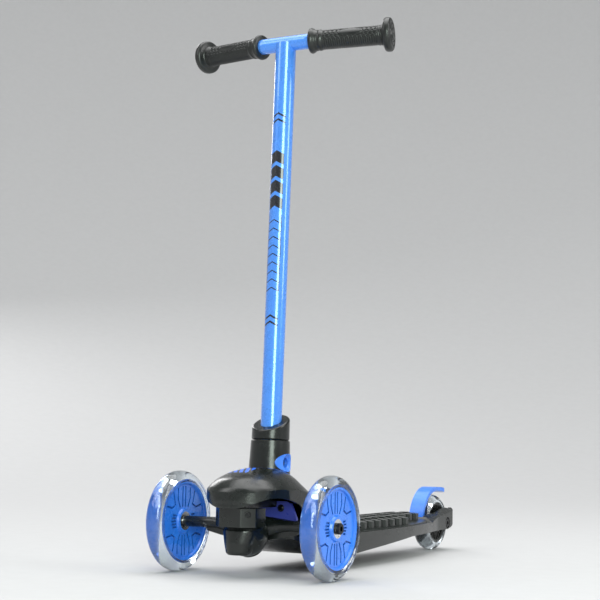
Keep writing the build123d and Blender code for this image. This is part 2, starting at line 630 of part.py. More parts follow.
for side, wheel, hand in front_wheels:
    with BuildPart() as core:
        front_core(wheel)
    save(core, f"wheel_core_{hand}")

    with BuildPart() as tyre:
        with BuildSketch(half_plane(wheel)):
            with BuildLine():
                seat = RIM_R + 0.05
                Polyline((seat, -WEB_HALF - 1.5), (seat, WEB_HALF + 1.5), (RIM_INNER_R + 2.4, WEB_HALF + 3.1),
                         (RIM_INNER_R + 2.6, TYRE_HALF - 0.6), (RIM_INNER_R + 4, TYRE_HALF), (52, TYRE_HALF))
                ThreePointArc((52, TYRE_HALF), (FRONT_WHEEL_R - 1.9, TYRE_HALF * 0.62), (FRONT_WHEEL_R, 0))
                ThreePointArc((FRONT_WHEEL_R, 0), (FRONT_WHEEL_R - 1.9, -TYRE_HALF * 0.62), (52, -TYRE_HALF))
                Polyline((52, -TYRE_HALF), (RIM_INNER_R + 4, -TYRE_HALF), (RIM_INNER_R + 2.6, 0.6 - TYRE_HALF),
                         (RIM_INNER_R + 2.4, -WEB_HALF - 3.1), (seat, -WEB_HALF - 1.5))
            make_face()
        revolve(axis=axis_of(wheel))
    save(tyre, f"tyre_{hand}")

    with BuildPart() as lights:
        for angle in LIGHT_ANGLES:
            rod(light_plane(wheel, angle), LIGHT_R, RIM_R - 3.4, RIM_R - 0.6)
    save(lights, f"light_modules_{hand}")

    with BuildPart() as outer_rings:
        for centre in BEARING_CENTRES:
            bearing_outer(wheel, centre)
    save(outer_rings, f"bearing_outer_rings_{hand}")

    with BuildPart() as balls:
        for centre in BEARING_CENTRES:
            bearing_balls(wheel, centre)
    save(balls, f"bearing_balls_{hand}")

    with BuildPart() as coil:
        ring(wheel, 7.2, SHOULDER_R - 0.02, -2.2, 2.2)
    save(coil, f"dynamo_coil_{hand}")

    with BuildPart() as bolt:
        hub_outer = side * HUB_HALF
        rod(wheel, AXLE_R, *sorted((hub_outer, side * (68 - TRACK / 2))))
        rod(wheel, 6.5, *sorted((hub_outer, hub_outer + side * 4.4)))
        chamfer(bolt.edges().filter_by(GeomType.CIRCLE).sort_by(Axis.X)[-1 if side > 0 else 0], length=0.6)
        with BuildSketch(wheel.offset(hub_outer + side * 4.4)):
            RegularPolygon(radius=3.3, side_count=6)
        extrude(amount=-side * 3, mode=Mode.SUBTRACT)
    save(bolt, f"axle_bolt_{hand}")

with BuildPart() as arm_spacers:
    for side, wheel, hand in front_wheels:
        ring(wheel, AXLE_R + 0.01, 5.8, *sorted((-side * HUB_HALF, side * (ARM_END - TRACK / 2))))
save(arm_spacers, "arm_spacers")

with BuildPart() as dynamo_magnets:
    for side, wheel, hand in front_wheels:
        ring(wheel, AXLE_R + 0.01, 6.4, -2.5, 2.5)
save(dynamo_magnets, "dynamo_magnets")

with BuildPart() as front_bearing_inner_rings:
    for side, wheel, hand in front_wheels:
        for centre in BEARING_CENTRES:
            bearing_inner(wheel, centre)
save(front_bearing_inner_rings, "front_bearing_inner_rings")

# ---- rear wheel ---------------------------------------------------------------------------------
rear = axle_plane(0, REAR_AXLE_AFT, REAR_WHEEL_R)
REAR_HUB_HALF = 13.0
REAR_RIM_R = 29.5
REAR_FINS = 24
REAR_TYRE_HALF = REAR_WHEEL_WIDTH / 2
REAR_BEARING_CENTRES = (-REAR_HUB_HALF + BEARING_WIDTH / 2, REAR_HUB_HALF - BEARING_WIDTH / 2)

with BuildPart() as rear_hub:
    turn(rear, [
        (AXLE_R + 3, -6), (AXLE_R + 3, 6), (BEARING_R, 6), (BEARING_R, REAR_HUB_HALF), (13.2, REAR_HUB_HALF),
        (14, 3), (24, 3), (25, 10), (28, 10.5), (REAR_RIM_R, 9),
        (REAR_RIM_R, -9), (28, -10.5), (25, -10), (24, -3), (14, -3), (13.2, -REAR_HUB_HALF),
        (BEARING_R, -REAR_HUB_HALF), (BEARING_R, -6),
    ])
    for face in (-1, 1):
        with BuildSketch(rear.offset(face * 2.5)):
            with PolarLocations(19, REAR_FINS):
                Rectangle(12, 1.5)
        extrude(amount=face * 6.5)
save(rear_hub, "rear_hub")

with BuildPart() as rear_tyre:
    with BuildSketch(half_plane(rear)):
        with BuildLine():
            seat = REAR_RIM_R + 0.05
            Polyline((seat, -9), (seat, 9), (28.4, 10.7), (29, REAR_TYRE_HALF), (33, REAR_TYRE_HALF))
            ThreePointArc((33, REAR_TYRE_HALF), (REAR_WHEEL_R - 1.9, REAR_TYRE_HALF * 0.62), (REAR_WHEEL_R, 0))
            ThreePointArc((REAR_WHEEL_R, 0), (REAR_WHEEL_R - 1.9, -REAR_TYRE_HALF * 0.62), (33, -REAR_TYRE_HALF))
            Polyline((33, -REAR_TYRE_HALF), (29, -REAR_TYRE_HALF), (28.4, -10.7), (seat, -9))
        make_face()
    revolve(axis=axis_of(rear))
save(rear_tyre, "rear_tyre")

with BuildPart() as rear_outer_rings:
    for centre in REAR_BEARING_CENTRES:
        bearing_outer(rear, centre)
save(rear_outer_rings, "rear_bearing_outer_rings")

with BuildPart() as rear_balls:
    for centre in REAR_BEARING_CENTRES:
        bearing_balls(rear, centre)
save(rear_balls, "rear_bearing_balls")

with BuildPart() as rear_inner_rings:
    for centre in REAR_BEARING_CENTRES:
        bearing_inner(rear, centre)
save(rear_inner_rings, "rear_bearing_inner_rings")

with BuildPart() as rear_axle_spacers:
    ring(rear, AXLE_R + 0.01, 6.2, BEARING_WIDTH - REAR_HUB_HALF, REAR_HUB_HALF - BEARING_WIDTH)
    for side in (-1, 1):
        ring(rear, AXLE_R + 0.01, 6.2, *sorted((side * REAR_HUB_HALF, side * FORK_SLOT_HALF)))
save(rear_axle_spacers, "rear_axle_spacers")

AXLE_RECESS = 4.0
with BuildPart() as rear_axle_bolt:
    rod(rear, AXLE_R, -FORK_OUTER_HALF - 0.5, FORK_OUTER_HALF - AXLE_RECESS)
    rod(rear, 6.5, FORK_OUTER_HALF - AXLE_RECESS, FORK_OUTER_HALF + 0.4)
    chamfer(rear_axle_bolt.edges().filter_by(GeomType.CIRCLE).sort_by(Axis.X)[-1], length=0.6)
    with BuildSketch(rear.offset(FORK_OUTER_HALF + 0.4)):
        RegularPolygon(radius=3, side_count=6)
    extrude(amount=-2.6, mode=Mode.SUBTRACT)
save(rear_axle_bolt, "rear_axle_bolt")

with BuildPart() as rear_axle_nut:
    with BuildSketch(rear.offset(-FORK_OUTER_HALF + AXLE_RECESS)):
        RegularPolygon(radius=6.9, side_count=6)
        Circle(AXLE_R + 0.01, mode=Mode.SUBTRACT)
    extrude(amount=-4.2)
save(rear_axle_nut, "rear_axle_nut")

# ---- deck ---------------------------------------------------------------------------------------
PAD_FLOOR_Z = 41.0
PAD_RIM_Z = 43.6
GLUE_LINE = 0.1
SLOT_FRONT_AFT = 448.0
PAD_FRONT_AFT = 126.0
RAMP_START_AFT = 442.0
SHOULDER_SLOPE = 0.44           # fall of the deck's rear shoulders, outwards


def mirrored(points):
    """Points of one side, given as (half width, aft), followed round to the other side."""
    here = [(x, aft(distance)) for x, distance in points]
    return here + [(-x, y) for x, y in reversed(here)]


def pad_outline(inset):
    """Plan of the recess in the deck, or of the pad in it when inset by the gap."""
    side_points = [(46, 126 + inset), (51, 150), (51.5, 190), (49.5, 290), (43.5, 370), (35, 421 - inset)]
    points = mirrored([(x - inset, distance) for x, distance in side_points])
    middle = len(side_points)
    with BuildLine() as outline:
        Spline(*points[:middle])
        ThreePointArc(points[middle - 1], (0, aft(437 - inset)), points[middle])
        Spline(*points[middle:])
        Line(points[-1], points[0])
    make_face(outline.line.edges())


with BuildPart() as deck_shell:
    with BuildSketch(Plane.XY.offset(10)):
        with BuildLine():
            w = DECK_HALF_WIDTH
            side_points = [(FORK_OUTER_HALF + 1.5, 476), (37.5, 430), (w - 9, 370), (w - 2.5, 290), (w, 190),
                           (w - 1, 138), (w - 9, 88), (28, 55)]
            hull = mirrored(side_points)
            hull.insert(len(side_points), (0, aft(48.5)))
            Spline(*hull, tangents=((0.12, -1), (0.12, 1)))
            Line(hull[-1], (-FORK_OUTER_HALF, aft(526)))
            RadiusArc((-FORK_OUTER_HALF, aft(526)), (8 - FORK_OUTER_HALF, aft(541)), 16)
            Line((8 - FORK_OUTER_HALF, aft(541)), (FORK_OUTER_HALF - 8, aft(541)))
            RadiusArc((FORK_OUTER_HALF - 8, aft(541)), (FORK_OUTER_HALF, aft(526)), 16)
            Line((FORK_OUTER_HALF, aft(526)), hull[0])
        make_face()
    extrude(amount=60)
    with BuildSketch(Plane.YZ.offset(-80)):
        with BuildLine():
            Line((aft(30), DECK_TOP_Z), (aft(RAMP_START_AFT), DECK_TOP_Z))
            Spline((aft(RAMP_START_AFT), DECK_TOP_Z), (aft(452), 52), (aft(472), 54.2), (aft(508), 59.6),
                   (aft(526), 61.4), (aft(538), 59.6), (aft(544), 52), tangents=((0.6, 1), (0.2, -1)))
            Polyline((aft(544), 52), (aft(580), 52), (aft(580), 90), (aft(30), 90), (aft(30), DECK_TOP_Z))
        make_face()
    extrude(amount=160, mode=Mode.SUBTRACT)
    with BuildSketch(Plane(origin=(0, aft(RAMP_START_AFT - 6), 52), x_dir=(1, 0, 0), z_dir=(0, 1, 0.105))):
        for side in (-1, 1):
            with BuildLine():
                Polyline((side * 16, 0), (side * 60, 44 * SHOULDER_SLOPE), (side * 60, -40), (side * 16, -40),
                         close=True)
            make_face()
    extrude(amount=130, mode=Mode.SUBTRACT)
    with BuildSketch(Plane.YZ.offset(-80)):
        with BuildLine():
            Polyline((aft(560), 47), (aft(543), 47), (aft(538), 40), (aft(524), 33.4), (aft(512), 31),
                     (aft(345), 30.5), (aft(180), 20.5))
            Spline((aft(180), 20.5), (aft(125), 18), (aft(92), 23.5), (aft(68), 33), (aft(46), 43),
                   tangents=((-1, -0.06), (-1, 0.25)))
            Polyline((aft(46), 43), (aft(30), 43), (aft(30), 0), (aft(560), 0), (aft(560), 47))
        make_face()
    extrude(amount=160, mode=Mode.SUBTRACT)
    with BuildSketch(Plane.XY.offset(PAD_FLOOR_Z)):
        pad_outline(0)
    extrude(amount=10, mode=Mode.SUBTRACT)
    with BuildSketch(Plane.XY):
        with Locations((0, aft(SLOT_FRONT_AFT))):
            Rectangle(2 * FORK_SLOT_HALF, 120, align=(Align.CENTER, Align.MIN))
    extrude(amount=100, mode=Mode.SUBTRACT)
    for row, half in ((140, 44), (180, 46), (220, 46), (260, 45), (300, 43), (340, 40), (380, 35), (416, 28)):
        with BuildSketch(Plane.XY):
            with Locations((-half / 2 - 1.5, aft(row)), (half / 2 + 1.5, aft(row))):
                RectangleRounded(half - 3, 35, 4)
        extrude(amount=PAD_FLOOR_Z - 3, mode=Mode.SUBTRACT)
    rod(rear, AXLE_R + 0.02, -60, 60, Mode.SUBTRACT)
    for side in (-1, 1):
        rod(rear, 8, *sorted((side * (FORK_OUTER_HALF - AXLE_RECESS), side * 60)), mode=Mode.SUBTRACT)
    rod(axle_plane(0, BRAKE_PIVOT_AFT, BRAKE_PIVOT_Z), BRAKE_PIN_R + 0.01, -23, 23, Mode.SUBTRACT)
    with Locations(Plane.XY.offset(DECK_TOP_Z)):
        with Locations(*FOOT_SCREWS):
            Hole(2.12, depth=8)
save(deck_shell, "deck_shell")

STUD_LENGTH = 14.6
STUD_WIDTH = 13.2
STUD_CORNER = 3.4
CROWN_R = (DECK_HALF_WIDTH ** 2 + PAD_CROWN ** 2) / (2 * PAD_CROWN)
PAD_TOP_Z = PAD_RIM_Z + PAD_CROWN
STUD_TOP_Z = PAD_TOP_Z + STUD_HEIGHT


def crown(height):
    """Cylinder along the deck whose crown passes this height at the middle."""
    plane = Plane(origin=(0, aft(100), height - CROWN_R), x_dir=(1, 0, 0), z_dir=(0, 1, 0))
    with BuildSketch(plane) as arch:
        Circle(CROWN_R)
    extrude(arch.sketch, amount=380, mode=Mode.INTERSECT)


def pad_half_width(distance):
    """Half width of the pad where studs may stand, this far behind the front axle."""
    narrowing = max(0.0, distance - 240) / 190
    return 50.5 - 17 * narrowing ** 1.8


def stud_places():
    places = []
    for index in range(-2, 3):
        shift = STUD_PITCH / 2 if index % 2 else 0
        for row in range(15):
            y = 148 + shift + row * STUD_PITCH
            reach = abs(index) * STUD_COLUMN + STUD_WIDTH / 2
            rear_limit = 432 - 0.008 * (index * STUD_COLUMN) ** 2 - STUD_LENGTH / 2
            if y < rear_limit and reach < pad_half_width(y):
                places.append((index * STUD_COLUMN, aft(y)))
    return places


with BuildPart() as deck_pad:
    with BuildSketch(Plane.XY.offset(PAD_FLOOR_Z + GLUE_LINE)):
        pad_outline(BODY_GAP)
    extrude(amount=20)
    crown(PAD_TOP_Z)
with BuildPart() as studs:
    with BuildSketch(Plane.XY.offset(PAD_FLOOR_Z + 1)):
        with Locations(*stud_places()):
            w = STUD_WIDTH / 2
            h = STUD_LENGTH / 2
            c = STUD_CORNER
            Polygon((-w, -h + c), (-w + c, -h), (w - c, -h), (w, -h + c), (w, h - c), (w - c, h), (-w + c, h),
                    (-w, h - c), align=None)
    extrude(amount=30)
    crown(STUD_TOP_Z)
    split(bisect_by=Plane.XY.offset(STUD_TOP_Z - 0.12), keep=Keep.BOTTOM)
with BuildPart() as deck_mat:
    add(deck_pad.part)
    add(studs.part)
save(deck_mat, "deck_pad")

# ---- brake ----------------------------------------------------------------------------------------
brake_plane = axle_plane(0, BRAKE_PIVOT_AFT, BRAKE_PIVOT_Z)
BRAKE_OUTER_R = BRAKE_INNER_R + BRAKE_THICKNESS


def about_rear_axle(radius, angle):
    """Point at this radius and angle above the rearward horizontal, around the rear axle."""
    return (aft(REAR_AXLE_AFT) + radius * cos(radians(angle)), REAR_WHEEL_R + radius * sin(radians(angle)))


with BuildPart() as brake_fender:
    with BuildSketch(Plane.YZ.offset(-BRAKE_HALF_WIDTH)):
        with BuildLine():
            outer_start = about_rear_axle(BRAKE_OUTER_R, 170)
            outer_end = about_rear_axle(BRAKE_OUTER_R, 84)
            ThreePointArc(outer_start, about_rear_axle(BRAKE_OUTER_R, 130), outer_end)
            tail_top = (aft(540), 88.2)
            tail_end = (aft(546), 85)
            tail_low = (aft(543), 82.6)
            Spline(outer_end, (aft(530), 90.7), tail_top, tangents=((1, -0.1), (1, -0.35)))
            ThreePointArc(tail_top, tail_end, tail_low)
            inner_end = about_rear_axle(BRAKE_INNER_R, 84)
            Spline(tail_low, (aft(530), 85), inner_end, tangents=((-1, 0.25), (-1, 0.12)))
            inner_start = about_rear_axle(BRAKE_INNER_R, 176)
            ThreePointArc(inner_end, about_rear_axle(BRAKE_INNER_R, 130), inner_start)
            Polyline(inner_start, (aft(BRAKE_PIVOT_AFT + 3), BRAKE_PIVOT_Z + 1),
                     (aft(BRAKE_PIVOT_AFT - 3), BRAKE_PIVOT_Z + 2), outer_start)
        make_face()
    extrude(amount=2 * BRAKE_HALF_WIDTH)
    with BuildSketch(Plane.XY):
        with BuildLine():
            w = BRAKE_HALF_WIDTH
            Polyline((w, aft(531)), (w, aft(430)), (-w, aft(430)), (-w, aft(531)))
            ThreePointArc((-w, aft(531)), (0, aft(546)), (w, aft(531)))
        make_face()
    extrude(amount=120, mode=Mode.INTERSECT)
    rod(brake_plane, 6, -BRAKE_HALF_WIDTH, BRAKE_HALF_WIDTH)
    rod(brake_plane, BRAKE_PIN_R + RUNNING_GAP, -20, 20, Mode.SUBTRACT)
save(brake_fender, "brake_fender")

with BuildPart() as brake_pin:
    rod(brake_plane, BRAKE_PIN_R, -22.8, 22.8)
    chamfer(brake_pin.edges().filter_by(GeomType.CIRCLE), length=0.4)
save(brake_pin, "brake_pin")

with BuildPart() as brake_springs:
    for side in (-1, 1):
        for turn_index in range(3):
            x = side * (BRAKE_HALF_WIDTH + 1.0 + turn_index * 1.2)
            with BuildSketch(half_plane(brake_plane)):
                with Locations((4.2, x)):
                    Circle(0.6)
            revolve(axis=axis_of(brake_plane))
save(brake_springs, "brake_springs")
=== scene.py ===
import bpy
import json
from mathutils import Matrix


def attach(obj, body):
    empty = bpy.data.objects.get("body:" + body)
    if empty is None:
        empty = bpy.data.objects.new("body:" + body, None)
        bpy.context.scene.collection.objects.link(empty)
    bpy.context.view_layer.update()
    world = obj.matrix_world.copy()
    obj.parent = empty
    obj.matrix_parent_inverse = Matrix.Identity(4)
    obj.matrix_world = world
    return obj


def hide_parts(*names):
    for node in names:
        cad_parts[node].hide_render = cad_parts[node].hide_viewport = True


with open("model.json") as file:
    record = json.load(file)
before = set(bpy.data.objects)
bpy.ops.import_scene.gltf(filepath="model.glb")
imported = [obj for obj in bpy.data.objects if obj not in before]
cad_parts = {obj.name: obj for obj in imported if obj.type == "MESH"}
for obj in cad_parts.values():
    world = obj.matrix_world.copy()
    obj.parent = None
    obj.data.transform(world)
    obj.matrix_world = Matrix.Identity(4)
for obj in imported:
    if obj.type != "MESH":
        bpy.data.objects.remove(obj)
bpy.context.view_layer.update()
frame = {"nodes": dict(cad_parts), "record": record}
import json
import math

import bpy
import bmesh
from mathutils import Quaternion, Vector

NODES = frame["nodes"]
MM = 0.001


# ---- procedural materials ----------------------------------------------------------------
class Shade:
    """A node material built from object-space noise, with helpers to wire it up."""

    def __init__(self, name):
        self.material = bpy.data.materials.new(name)
        self.material.use_nodes = True
        self.tree = self.material.node_tree
        self.bsdf = self.tree.nodes["Principled BSDF"]
        self.space = self.node("ShaderNodeTexCoord").outputs["Object"]

    def node(self, kind, **values):
        made = self.tree.nodes.new(kind)
        for key, value in values.items():
            setattr(made, key, value)
        return made

    def link(self, source, target):
        self.tree.links.new(source, target)

    def noise(self, scale, detail=3.0, roughness=0.55, stretch=None):
        made = self.node("ShaderNodeTexNoise")
        made.inputs["Scale"].default_value = scale
        made.inputs["Detail"].default_value = detail
        made.inputs["Roughness"].default_value = roughness
        source = self.space
        if stretch:
            mapping = self.node("ShaderNodeMapping")
            mapping.inputs["Scale"].default_value = stretch
            self.link(self.space, mapping.inputs["Vector"])
            source = mapping.outputs["Vector"]
        self.link(source, made.inputs["Vector"])
        return made.outputs["Fac"]

    def span(self, source, low, high, start=0.3, end=0.7):
        made = self.node("ShaderNodeMapRange")
        made.inputs["From Min"].default_value = start
        made.inputs["From Max"].default_value = end
        made.inputs["To Min"].default_value = low
        made.inputs["To Max"].default_value = high
        self.link(source, made.inputs["Value"])
        return made.outputs["Result"]

    def blend(self, factor, first, second):
        made = self.node("ShaderNodeMix", data_type="RGBA")
        for socket, value in ((made.inputs[6], first), (made.inputs[7], second)):
            if isinstance(value, tuple):
                socket.default_value = (*value, 1.0)
            else:
                self.link(value, socket)
        self.link(factor, made.inputs[0])
        return made.outputs[2]

    def value(self, operation, *operands):
        """A maths node on sockets or numbers."""
        made = self.node("ShaderNodeMath", operation=operation)
        for socket, operand in zip(made.inputs, operands):
            if isinstance(operand, (int, float)):
                socket.default_value = operand
            else:
                self.link(operand, socket)
        return made.outputs[0]

    def within(self, source, low, high):
        """1 where the source lies between two values, 0 elsewhere."""
        return self.value("MULTIPLY", self.value("GREATER_THAN", source, low), self.value("LESS_THAN", source, high))

    def place(self):
        """X, Y and Z of the shaded point in the object's own frame."""
        split = self.node("ShaderNodeSeparateXYZ")
        self.link(self.space, split.inputs[0])
        return split.outputs

    def crevices(self, distance):
        """1 on open surface, falling towards 0 in corners and narrow gaps; used to paint shade there."""
        made = self.node("ShaderNodeAmbientOcclusion", samples=6, only_local=True)
        made.inputs["Distance"].default_value = distance
        return made.outputs["AO"]

    def paint(self, mask, colour):
        """Paint a colour over what the surface has, where the mask is 1."""
        socket = self.bsdf.inputs["Base Color"]
        below = socket.links[0].from_socket
        self.link(self.blend(mask, below, colour), socket)

    def relief(self, *layers):
        """Bump from (height source, distance in metres) layers, one on top of the other."""
        normal = None
        for source, distance in layers:
            bump = self.node("ShaderNodeBump")
            bump.inputs["Distance"].default_value = distance
            bump.inputs["Strength"].default_value = 1.0
            self.link(source, bump.inputs["Height"])
            if normal is not None:
                self.link(normal, bump.inputs["Normal"])
            normal = bump.outputs["Normal"]
        self.link(normal, self.bsdf.inputs["Normal"])

    def set(self, **values):
        for key, value in values.items():
            socket = self.bsdf.inputs[key.replace("_", " ")]
            socket.default_value = (*value, 1.0) if isinstance(value, tuple) and len(value) == 3 else value


def moulded(name, dark, light, rough, grain=2.0e-5, grain_scale=1400.0, coat=0.0, metallic=0.0, wave=0.0,
            dust=0.25, painted_shade_reach=0.0, painted_shade_depth=0.22, pebble=0.0):
    """Plastic, rubber or lacquer: mottled colour, smudged roughness, fine grain and slow waviness, with painted
    shade in corners and gaps where a shade reach is given.
    """
    shade = Shade(name)
    mottle = shade.noise(38.0, 4.0)
    fine = shade.noise(grain_scale, 2.0)
    smudge = shade.noise(70.0, 5.0, 0.7)
    specks = shade.noise(900.0, 1.0)
    tint = shade.blend(shade.span(mottle, 0.0, 1.0), dark, light)
    dusty = tuple(c * 0.85 + 0.04 for c in light)
    colour = shade.blend(shade.span(specks, 0.0, dust, 0.68, 0.8), tint, dusty)
    # Painted shade: the colour darkens towards a dark copy of the moulding in corners and narrow gaps, from ambient
    # occlusion.
    if painted_shade_reach:
        shaded = tuple(c * painted_shade_depth for c in dark)
        open_surface = shade.span(shade.crevices(painted_shade_reach), 0.0, 1.0, 0.25, 0.85)
        colour = shade.blend(open_surface, shaded, colour)
    shade.link(colour, shade.bsdf.inputs["Base Color"])
    shade.link(shade.span(smudge, rough[0], rough[1]), shade.bsdf.inputs["Roughness"])
    layers = [(fine, grain)]
    if wave:
        layers.insert(0, (shade.noise(55.0, 2.0), wave))
    if pebble:
        layers.insert(0, (shade.noise(330.0, 1.0), pebble))
    shade.relief(*layers)
    shade.set(Metallic=metallic)
    if coat:
        shade.set(Coat_Weight=coat, Coat_Roughness=0.04)
    return shade


def steel(name, dark, light, rough, lines=(1.0, 1.0, 1.0)):
    shade = Shade(name)
    brushed = shade.noise(600.0, 3.0, 0.6, lines)
    blotch = shade.noise(120.0, 3.0)
    shade.link(shade.blend(shade.span(blotch, 0.0, 1.0), dark, light), shade.bsdf.inputs["Base Color"])
    shade.link(shade.span(brushed, rough[0], rough[1]), shade.bsdf.inputs["Roughness"])
    shade.relief((brushed, 8.0e-6))
    shade.set(Metallic=1.0)
    return shade


def clear_cast(name, tint, rough):
    """Clear cast urethane: refracts, with faint flow lines and surface scuffs."""
    shade = Shade(name)
    flow = shade.noise(60.0, 3.0)
    scuff = shade.noise(420.0, 4.0, 0.65)
    shade.link(shade.blend(shade.span(flow, 0.0, 1.0), tint, tuple(min(1.0, c * 1.06) for c in tint)),
               shade.bsdf.inputs["Base Color"])
    shade.link(shade.span(scuff, rough[0], rough[1]), shade.bsdf.inputs["Roughness"])
    shade.relief((flow, 1.2e-4), (scuff, 8.0e-6))
    shade.set(Transmission_Weight=1.0, IOR=1.47)
    return shade


BLACK_LOW, BLACK_HIGH = (0.0035, 0.0048, 0.0044), (0.008, 0.0105, 0.0095)
TUBE_BLUE = ((0.058, 0.243, 0.78), (0.068, 0.266, 0.82))
# Mouldings given a shade reach below are painted darker in their corners and narrow gaps, as painted shade.
MATERIALS = {
    "blue_tube": moulded("blue lacquered tube", *TUBE_BLUE, (0.2, 0.34), grain=1.5e-6, coat=0.8, metallic=0.2,
                         wave=2.5e-6, dust=0.06),
    "grip_rubber": moulded("grip rubber", (0.005, 0.0062, 0.0058), (0.011, 0.013, 0.012), (0.26, 0.42),
                           grain=2.0e-5, painted_shade_reach=0.004),
    "black_gloss": moulded("glossy black moulding", BLACK_LOW, BLACK_HIGH, (0.18, 0.30), grain=3.0e-6,
                           wave=8.0e-6, dust=0.1, painted_shade_reach=0.008),
    "blue_plastic": moulded("glossy blue moulding", (0.035, 0.18, 0.74), (0.055, 0.235, 0.84), (0.22, 0.36),
                            grain=8.0e-6, coat=0.3, dust=0.1, painted_shade_reach=0.005, painted_shade_depth=0.5),
    "wheel_blue": moulded("blue wheel moulding", (0.016, 0.16, 0.70), (0.03, 0.21, 0.84), (0.22, 0.36),
                          grain=8.0e-6, coat=0.35, dust=0.1, painted_shade_reach=0.004, painted_shade_depth=0.55),
    "clear_tyre": clear_cast("clear tyre", (0.76, 0.83, 0.88), (0.02, 0.08)),
    "rear_hub_black": moulded("black hub moulding", BLACK_LOW, BLACK_HIGH, (0.2, 0.34), grain=1.0e-5,
                              painted_shade_reach=0.006),
    "deck_rubber": moulded("studded rubber", (0.007, 0.0095, 0.0085), (0.014, 0.018, 0.016), (0.24, 0.38),
                           grain=2.2e-5, painted_shade_reach=0.009),
    "pivot_rubber": moulded("pivot rubber", (0.008, 0.008, 0.008), (0.015, 0.015, 0.015), (0.55, 0.7)),
    "polished_steel": steel("polished steel", (0.62, 0.63, 0.64), (0.76, 0.77, 0.78), (0.12, 0.3)),
    "black_steel": steel("blackened steel", (0.018, 0.018, 0.019), (0.05, 0.05, 0.052), (0.25, 0.45)),
    "bushing_plastic": moulded("nylon", (0.02, 0.02, 0.02), (0.035, 0.035, 0.035), (0.4, 0.55)),
    "dynamo_copper": steel("copper winding", (0.5, 0.2, 0.09), (0.62, 0.28, 0.13), (0.3, 0.5), (1.0, 14.0, 14.0)),
    "dynamo_magnet": steel("sintered magnet", (0.1, 0.1, 0.1), (0.17, 0.17, 0.17), (0.4, 0.6)),
    "light_lens": moulded("milky lens", (0.72, 0.8, 0.9), (0.9, 0.95, 1.0), (0.15, 0.28), grain=4.0e-6, coat=0.4),
}
MATERIALS["light_lens"].set(Emission_Color=(0.75, 0.85, 1.0), Emission_Strength=1.6)


# ---- painted stripes and other finishes of single nodes ----------------------------------------
COLUMN_FOOT_Y, COLUMN_FOOT_Z, COLUMN_RAKE = -209.5 * MM, 104.0 * MM, math.radians(2.4)
STRIPE_BLUE, DECAL_BLACK = (0.03, 0.16, 0.80), (0.006, 0.008, 0.014)
CHEVRON_SLOPE = 0.55
PANEL_HALF_WIDTH, BORDER_INNER = 0.0088, 0.0081
BOLD_RUN, FINE_RUN = (0.443, 0.517), (0.342, 0.4356)
UPPER_MARK, LOWER_MARK = (0.550, 0.5606), (0.300, 0.3106)
# Each run of chevrons, as (where it lies along the column, pitch, dark share of the pitch).
CHEVRON_RUNS = ((BOLD_RUN, 0.0185, 0.74), (FINE_RUN, 0.0104, 0.13), (UPPER_MARK, 0.0075, 0.32),
                (LOWER_MARK, 0.0075, 0.32))
HOOD_TOP_Z = 0.112
COLLAR_RING, FAN_RING, FAN_SIDES = (0.0275, 0.0291), (0.0315, 0.060), (-0.040, 0.004)


def column_offset(shade, y, z):
    """How far the point is behind the column's axis."""
    lean = shade.value("MULTIPLY", shade.value("SUBTRACT", z, COLUMN_FOOT_Z), math.tan(COLUMN_RAKE))
    return shade.value("SUBTRACT", shade.value("SUBTRACT", y, COLUMN_FOOT_Y), lean)


def dashes(shade, along, across, pitch, share, slant):
    """Slanted dashes: 1 on a share of each pitch along the first coordinate."""
    phase = shade.value("DIVIDE", shade.value("ADD", along, shade.value("MULTIPLY", across, slant)), pitch)
    return shade.value("LESS_THAN", shade.value("FRACT", phase), share)


tube_finish = moulded("blue lacquered column", *TUBE_BLUE, (0.2, 0.34), grain=1.5e-6, coat=0.8, metallic=0.2,
                      wave=2.5e-6, dust=0.06)
x, y, z = tube_finish.place()
sideways = tube_finish.value("ABSOLUTE", x)
front = tube_finish.value("LESS_THAN", column_offset(tube_finish, y, z), 0.0)
panel = tube_finish.value("MULTIPLY", tube_finish.value("LESS_THAN", sideways, PANEL_HALF_WIDTH), front)
# Bold chevrons, then a run of fine ones between two fine borders, and a single mark above and below.
arrow = tube_finish.value("ADD", z, tube_finish.value("MULTIPLY", sideways, CHEVRON_SLOPE))
for (low, high), pitch, share in CHEVRON_RUNS:
    run = tube_finish.value("MULTIPLY", tube_finish.within(arrow, low, high), panel)
    phase = tube_finish.value("DIVIDE", tube_finish.value("SUBTRACT", arrow, low), pitch)
    chevrons = tube_finish.value("LESS_THAN", tube_finish.value("FRACT", phase), share)
    tube_finish.paint(tube_finish.value("MULTIPLY", run, chevrons), DECAL_BLACK)
border = tube_finish.value("MULTIPLY", tube_finish.within(sideways, BORDER_INNER, PANEL_HALF_WIDTH), front)
tube_finish.paint(tube_finish.value("MULTIPLY", border, tube_finish.within(arrow, *FINE_RUN)), DECAL_BLACK)

hood_finish = moulded("glossy black hood", BLACK_LOW, BLACK_HIGH, (0.20, 0.32), grain=3.0e-6, wave=8.0e-6, dust=0.1)
x, y, z = hood_finish.place()
behind = column_offset(hood_finish, y, z)
radius = hood_finish.value("SQRT", hood_finish.value("ADD", hood_finish.value("MULTIPLY", x, x),
                                                     hood_finish.value("MULTIPLY", behind, behind)))
upper = hood_finish.value("GREATER_THAN", z, HOOD_TOP_Z)
collar = hood_finish.value("MULTIPLY", hood_finish.within(radius, *COLLAR_RING), upper)
fan = hood_finish.value("MULTIPLY", hood_finish.within(radius, *FAN_RING), upper)
fan = hood_finish.value("MULTIPLY", fan, hood_finish.within(x, *FAN_SIDES))
fan = hood_finish.value("MULTIPLY", fan, hood_finish.value("LESS_THAN", behind, -0.004))
fan = hood_finish.value("MULTIPLY", fan, dashes(hood_finish, x, y, 0.0078, 0.62, 0.5))
hood_finish.paint(hood_finish.value("MAXIMUM", collar, fan), STRIPE_BLUE)

